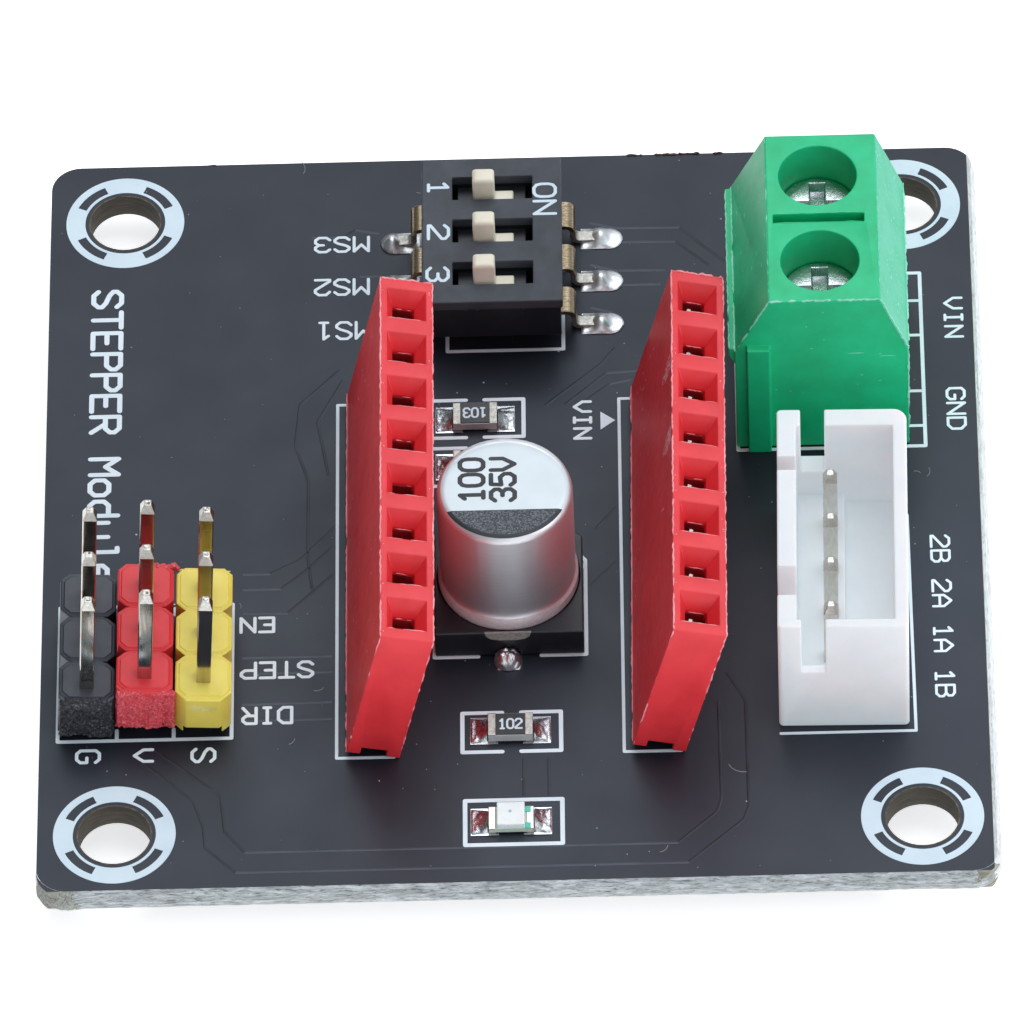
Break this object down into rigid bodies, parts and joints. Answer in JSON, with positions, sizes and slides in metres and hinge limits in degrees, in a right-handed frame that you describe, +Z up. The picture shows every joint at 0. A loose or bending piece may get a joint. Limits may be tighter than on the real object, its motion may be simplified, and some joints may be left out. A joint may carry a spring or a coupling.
{
  "type": "stepper driver module",
  "caption": "Expansion board for a plug-in stepper driver: red driver sockets, coloured pin headers, step switches, green screw terminal, white motor socket and a can capacitor.",
  "frame": {"origin": "centre of the four mounting holes, on the underside of the board", "axes": "+X along the front edge towards the motor socket, +Y away from the front edge towards the step switches, +Z up out of the component side"},
  "size_m": [0.0424, 0.0424, 0.0128],
  "materials": {
    "black_laminate": "satin black solder mask over glass-fibre laminate",
    "tinned_copper": "dull tin plate",
    "solder": "bright solder",
    "red_plastic": "moulded, lightly scuffed",
    "gold_plate": "plated copper alloy",
    "black_plastic": "moulded",
    "yellow_plastic": "moulded",
    "cream_plastic": "moulded",
    "green_plastic": "moulded, scuffed edges",
    "zinc_plate": "zinc-plated steel",
    "white_plastic": "moulded",
    "can_aluminium": "satin, white printed top",
    "black_rubber": "matte",
    "winding_foil": "foil and paper",
    "alumina": "white ceramic",
    "black_lacquer": "glazed",
    "led_laminate": "thin laminate",
    "lens_resin": "milky resin"
  },
  "bodies": {
    "board": {"circuit_board": "black_laminate", "copper_pads": "tinned_copper", "solder_joints": "solder", "driver_socket_left": "red_plastic", "driver_socket_right": "red_plastic", "socket_contacts_left": "gold_plate", "socket_contacts_right": "gold_plate", "header_ground": "black_plastic", "header_power": "red_plastic", "header_signal": "yellow_plastic", "pins_ground": "tinned_copper", "pins_power": "tinned_copper", "pins_signal": "tinned_copper", "switch_base": "black_plastic", "switch_cover": "black_plastic", "switch_leads": "gold_plate", "terminal_housing": "green_plastic", "terminal_contact_1": "gold_plate", "terminal_contact_2": "gold_plate", "motor_socket": "white_plastic", "motor_pins": "tinned_copper", "capacitor_can": "can_aluminium", "capacitor_base": "black_plastic", "capacitor_seal": "black_rubber", "capacitor_winding": "winding_foil", "capacitor_leads": "tinned_copper", "resistor_a_body": "alumina", "resistor_a_coat": "black_lacquer", "resistor_a_ends": "tinned_copper", "resistor_b_body": "alumina", "resistor_b_coat": "black_lacquer", "resistor_b_ends": "tinned_copper", "resistor_c_body": "alumina", "resistor_c_coat": "black_lacquer", "resistor_c_ends": "tinned_copper", "led_substrate": "led_laminate", "led_ends": "tinned_copper", "led_lens": "lens_resin", "led_die": "gold_plate"},
    "dip_slider_1": {"switch_slider_1": "cream_plastic", "switch_wiper_1": "gold_plate"},
    "dip_slider_2": {"switch_slider_2": "cream_plastic", "switch_wiper_2": "gold_plate"},
    "dip_slider_3": {"switch_slider_3": "cream_plastic", "switch_wiper_3": "gold_plate"},
    "screw_1": {"terminal_screw_1": "zinc_plate"},
    "screw_2": {"terminal_screw_2": "zinc_plate"},
    "cage_1": {"terminal_cage_1": "zinc_plate"},
    "cage_2": {"terminal_cage_2": "zinc_plate"}
  },
  "joints": [
    {"name": "switch_1", "type": "slide", "parent": "board", "child": "dip_slider_1", "axis": [1, 0, 0], "range_m": [0, 0.0008]},
    {"name": "switch_2", "type": "slide", "parent": "board", "child": "dip_slider_2", "axis": [1, 0, 0], "range_m": [0, 0.0008]},
    {"name": "switch_3", "type": "slide", "parent": "board", "child": "dip_slider_3", "axis": [1, 0, 0], "range_m": [0, 0.0008]},
    {"name": "screw_turn_1", "type": "hinge", "parent": "board", "child": "screw_1", "pos_m": [0.01387, 0.01095, 0.0075], "axis": [0, 0, -1], "range_deg": [0, 1081]},
    {"name": "cage_rise_1", "type": "slide", "parent": "board", "child": "cage_1", "axis": [0, 0, 1], "range_m": [0, 0.00135]},
    {"name": "screw_turn_2", "type": "hinge", "parent": "board", "child": "screw_2", "pos_m": [0.01387, 0.00595, 0.0075], "axis": [0, 0, -1], "range_deg": [0, 1081]},
    {"name": "cage_rise_2", "type": "slide", "parent": "board", "child": "cage_2", "axis": [0, 0, 1], "range_m": [0, 0.00135]}
  ],
  "couplings": [
    {"joint": "screw_turn_1", "follows": "cage_rise_1", "rad_per_m": 13963},
    {"joint": "screw_turn_2", "follows": "cage_rise_2", "rad_per_m": 13963}
  ]
}
